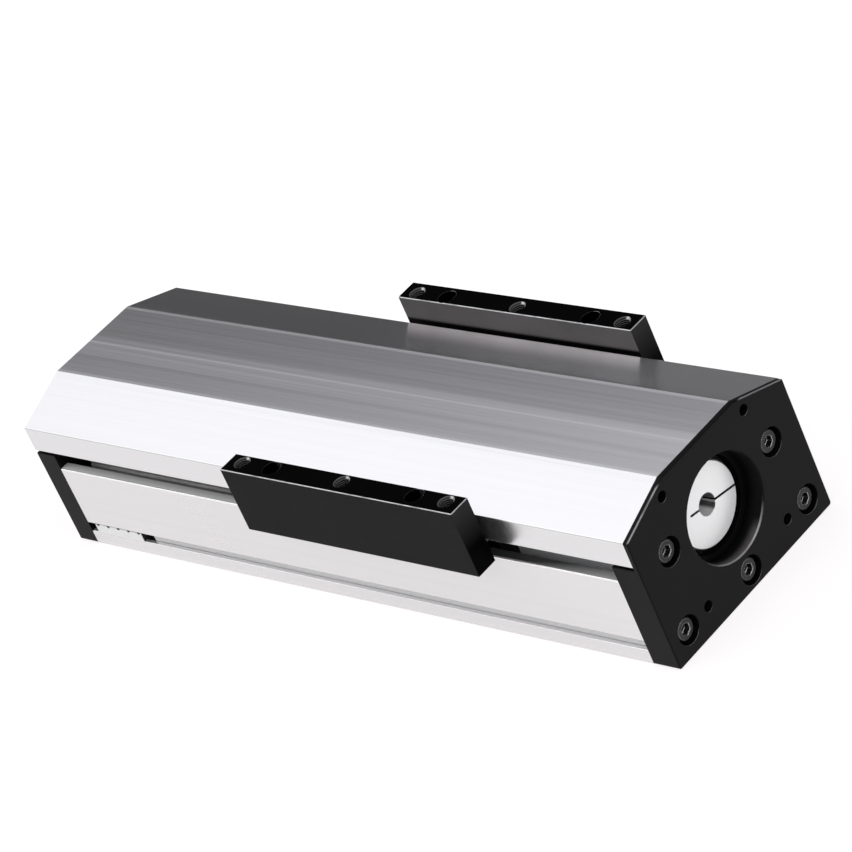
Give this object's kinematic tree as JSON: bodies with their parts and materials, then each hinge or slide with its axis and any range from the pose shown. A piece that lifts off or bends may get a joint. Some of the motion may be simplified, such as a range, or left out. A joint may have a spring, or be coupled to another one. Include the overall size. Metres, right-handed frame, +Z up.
{
  "type": "ball screw linear module",
  "caption": "Covered linear stage: a ball screw drives a carriage on two rails, and its two arms pass out under the cover's lips to carry the load.",
  "frame": {"origin": "centre of the mounting face under the base, midway between the two end faces", "axes": "+X along the travel to the motor end, +Y across to the far arm, +Z up from the mounting face"},
  "size_m": [0.306, 0.1126, 0.0643],
  "materials": {
    "satin_extrusion": "satin silver anodised extrusion",
    "black_anodised": "satin black anodised",
    "machined_aluminium": "fine milled",
    "coupling_aluminium": "turned and anodised clear",
    "black_screw_steel": "black oxide",
    "guide_steel": "ground",
    "screw_steel": "ground, lightly oiled",
    "bearing_steel": "polished",
    "stop_rubber": "matte",
    "star_elastomer": "semi matte",
    "sensor_plastic": "moulded"
  },
  "bodies": {
    "base": {"base_profile": "satin_extrusion", "top_cover": "satin_extrusion", "motor_end_block": "black_anodised", "idle_end_block": "black_anodised", "motor_end_screws": "black_screw_steel", "idle_end_screws": "black_screw_steel", "near_guide_rail": "guide_steel", "far_guide_rail": "guide_steel", "rail_screws": "black_screw_steel", "bearing_housing": "machined_aluminium", "housing_screws": "black_screw_steel", "bearing_outer_rings": "bearing_steel", "bearing_retainer": "black_screw_steel", "idle_bearing_outer_ring": "bearing_steel", "motor_end_stops": "stop_rubber", "idle_end_stops": "stop_rubber", "slot_sensor": "sensor_plastic", "slot_covers": "satin_extrusion"},
    "carriage": {"saddle": "machined_aluminium", "ball_nut": "guide_steel", "nut_screws": "black_screw_steel", "near_motor_guide_block": "guide_steel", "near_idle_guide_block": "guide_steel", "far_motor_guide_block": "guide_steel", "far_idle_guide_block": "guide_steel", "block_screws": "black_screw_steel", "near_carriage_arm": "black_anodised", "far_carriage_arm": "black_anodised", "arm_screws": "black_screw_steel"},
    "screw": {"ball_screw": "screw_steel", "bearing_inner_rings": "bearing_steel", "bearing_ball_cages": "bearing_steel", "spacer_collar": "black_screw_steel", "bearing_lock_nut": "black_screw_steel", "idle_bearing_inner_ring": "bearing_steel", "idle_bearing_ball_cage": "bearing_steel", "shaft_retaining_ring": "black_screw_steel", "coupling_motor_hub": "coupling_aluminium", "coupling_star": "star_elastomer", "coupling_screw_hub": "coupling_aluminium", "coupling_clamp_screws": "black_screw_steel"}
  },
  "joints": [
    {"name": "carriage_slide", "type": "slide", "parent": "base", "child": "carriage", "axis": [1, 0, 0], "range_m": [-0.115, 0.005]},
    {"name": "screw_spin", "type": "hinge", "parent": "base", "child": "screw", "pos_m": [0, 0, 0.0339], "axis": [1, 0, 0], "range_deg": [-181, 4141]}
  ],
  "couplings": [
    {"joint": "screw_spin", "follows": "carriage_slide", "rad_per_m": -628.32}
  ]
}
